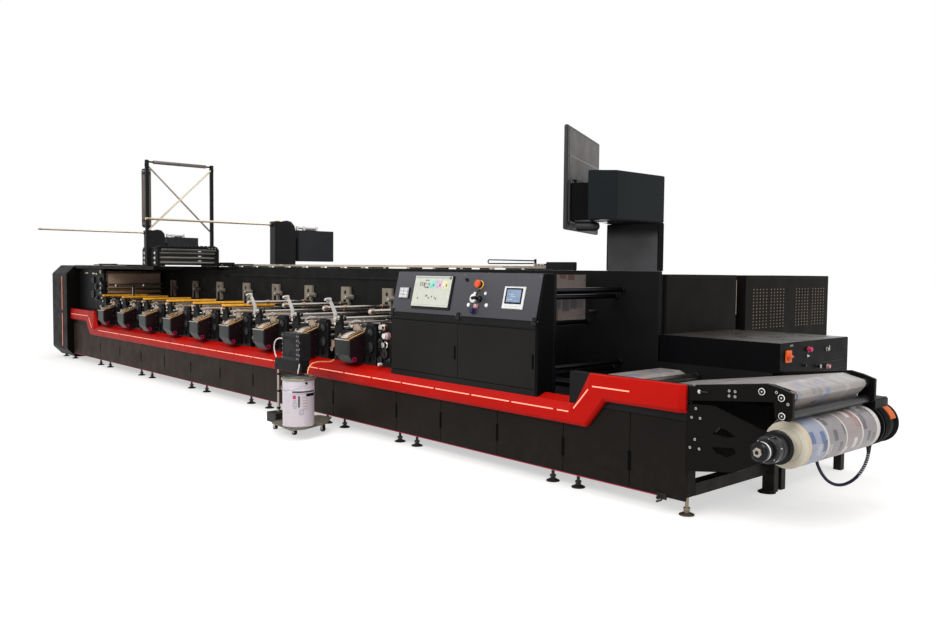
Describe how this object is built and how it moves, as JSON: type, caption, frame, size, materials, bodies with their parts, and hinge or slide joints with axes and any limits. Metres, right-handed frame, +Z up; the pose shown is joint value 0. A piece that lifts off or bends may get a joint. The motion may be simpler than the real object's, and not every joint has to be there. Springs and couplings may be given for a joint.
{
  "type": "flexographic printing press",
  "caption": "Long in-line flexographic printing press with open print stations, console, camera column and rewinder",
  "frame": {"origin": "Middle of the underside of the operator-side levelling foot at the rewind end, on the floor", "axes": "+X along the machine towards the rewinder, +Y from the operator's side to the drive side, +Z up"},
  "size_m": [13.076, 4.5583, 2.96],
  "materials": {
    "base_black": "satin",
    "skirt_brown_black": "satin",
    "band_red": "gloss",
    "led_warm": "lit",
    "housing_black": "satin",
    "wall_black": "satin",
    "bracket_grey": "satin",
    "pod_grey": "satin",
    "tray_tan": "gloss",
    "roll_steel": "ground",
    "amber_clear": "clear",
    "bright_steel": "polished",
    "rail_aluminium": "anodised",
    "tower_grey": "satin",
    "cylinder_grey": "satin",
    "console_grey": "satin",
    "screen_glass": "gloss",
    "hood_grey": "satin",
    "monitor_plastic": "matt",
    "cabinet_black": "satin",
    "web_print": "satin",
    "wound_film": "satin",
    "rewind_black": "satin",
    "motor_black": "painted",
    "pail_steel": "bright",
    "pump_black": "matt",
    "foot_zinc": "zinc plated",
    "cable_navy": "satin",
    "hose_white": "satin",
    "hose_orange": "satin"
  },
  "bodies": {
    "machine": {"front_beam": "base_black", "rear_beam": "base_black", "cross_ties": "base_black", "bed_plate": "base_black", "levelling_feet": "foot_zinc", "skirt_panels": "skirt_brown_black", "rear_panels": "skirt_brown_black", "red_band": "band_red", "light_strips": "led_warm", "end_housing": "housing_black", "infeed_plates": "housing_black", "canopy": "housing_black", "back_wall": "wall_black", "wall_brackets": "bracket_grey", "station_plates": "base_black", "ink_pods": "pod_grey", "pod_trays": "tray_tan", "station_rolls": "roll_steel", "amber_covers": "amber_clear", "idler_arms": "bright_steel", "idler_rods": "bright_steel", "overhead_rail": "rail_aluminium", "rail_tools": "rewind_black", "rail_units": "rewind_black", "rail_arms": "rail_aluminium", "tower_frame": "tower_grey", "buffer_cylinder": "cylinder_grey", "stack_plates": "base_black", "idler_rollers": "roll_steel", "console_body": "console_grey", "screens": "screen_glass", "bay_plates": "wall_black", "column": "hood_grey", "column_hood": "hood_grey", "monitor": "monitor_plastic", "tall_cabinet": "cabinet_black", "vent_cabinet": "cabinet_black", "low_cabinet": "cabinet_black", "cabinet_base": "base_black", "table_sides": "base_black", "web_strips": "web_print", "guide_rollers": "roll_steel", "rewind_beams": "rewind_black", "rewind_arms": "rewind_black", "rewind_motor": "motor_black", "pump_trolley": "base_black", "ink_pail": "pail_steel", "ink_pump": "pump_black", "rewind_cable": "cable_navy", "suction_hose": "hose_white", "return_hose": "hose_white", "feed_hose": "hose_orange"},
    "rewind_spindle": {"rewind_shaft": "rewind_black", "rewind_roll": "wound_film"},
    "door_left": {"console_door_left": "console_grey"},
    "door_right": {"console_door_right": "console_grey"}
  },
  "joints": [
    {"name": "rewind_spin", "type": "hinge", "parent": "machine", "child": "rewind_spindle", "pos_m": [0.63, 0.494, 0.54], "axis": [0, 1, 0], "continuous": true},
    {"name": "console_door_left_hinge", "type": "hinge", "parent": "machine", "child": "door_left", "pos_m": [-2.986, -0.057, 0.872], "axis": [0, 0, -1], "range_deg": [0, 110]},
    {"name": "console_door_right_hinge", "type": "hinge", "parent": "machine", "child": "door_right", "pos_m": [-1.249, -0.057, 0.872], "axis": [0, 0, 1], "range_deg": [0, 110]}
  ]
}
